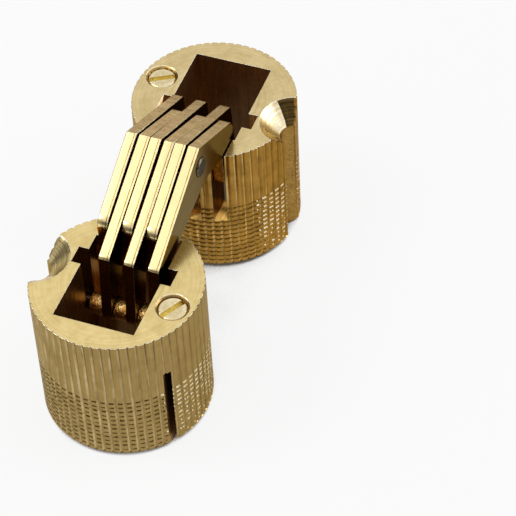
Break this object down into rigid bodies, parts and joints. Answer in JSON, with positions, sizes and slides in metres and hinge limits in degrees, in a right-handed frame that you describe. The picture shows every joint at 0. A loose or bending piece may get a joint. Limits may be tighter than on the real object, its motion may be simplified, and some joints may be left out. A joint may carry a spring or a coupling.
{
  "type": "invisible barrel hinge",
  "caption": "Concealed hinge: two knurled brass barrels for round bores, joined by crossed scissor leaves that fold into their pockets, each barrel clamped by a spreading screw.",
  "frame": {"origin": "midway between the two barrels, at the level of their back ends", "axes": "+X from the front barrel to the rear barrel, +Y along the pins, +Z from the back ends to the faces"},
  "size_m": [0.061, 0.024, 0.0322],
  "materials": {
    "barrel_brass": "turned and knurled",
    "leaf_brass": "stamped, ground edges",
    "steel": "drawn wire",
    "spacer_brass": "turned",
    "screw_brass": "turned, slotted"
  },
  "bodies": {
    "front_barrel": {"front_barrel": "barrel_brass", "front_pivot_pin": "steel"},
    "odd_leaves": {"leaf_1": "leaf_brass", "leaf_3": "leaf_brass", "leaf_5": "leaf_brass", "centre_pin": "steel", "rear_slide_pin": "steel", "rear_spacer_1": "spacer_brass", "rear_spacer_2": "spacer_brass", "rear_spacer_3": "spacer_brass"},
    "even_leaves": {"leaf_2": "leaf_brass", "leaf_4": "leaf_brass", "leaf_6": "leaf_brass", "front_slide_pin": "steel", "front_spacer_1": "spacer_brass", "front_spacer_2": "spacer_brass", "front_spacer_3": "spacer_brass"},
    "rear_barrel": {"rear_barrel": "barrel_brass", "rear_pivot_pin": "steel"},
    "front_clamp_screw": {"front_clamp_screw": "screw_brass"},
    "rear_clamp_screw": {"rear_clamp_screw": "screw_brass"}
  },
  "joints": [
    {"name": "fold", "type": "hinge", "parent": "front_barrel", "child": "odd_leaves", "pos_m": [-0.0097, 0, 0.0183], "axis": [0, -1, 0], "range_deg": [0, 113.45]},
    {"name": "scissor", "type": "hinge", "parent": "odd_leaves", "child": "even_leaves", "pos_m": [0, 0, 0.0286], "axis": [0, -1, 0], "range_deg": [-46.9, 0]},
    {"name": "rear_pivot", "type": "hinge", "parent": "even_leaves", "child": "rear_barrel", "pos_m": [0.0097, 0, 0.0183], "axis": [0, -1, 0], "range_deg": [0, 113.45]},
    {"name": "front_screw_turn", "type": "hinge", "parent": "front_barrel", "child": "front_clamp_screw", "pos_m": [-0.0205, -0.0089, 0.023], "axis": [0, 0, 1], "range_deg": [-180, 180]},
    {"name": "rear_screw_turn", "type": "hinge", "parent": "rear_barrel", "child": "rear_clamp_screw", "pos_m": [0.0205, 0.0089, 0.023], "axis": [0, 0, 1], "range_deg": [-180, 180]}
  ],
  "couplings": [
    {"joint": "scissor", "follows": "fold", "ratio": -0.4134},
    {"joint": "rear_pivot", "follows": "fold", "ratio": 1}
  ]
}
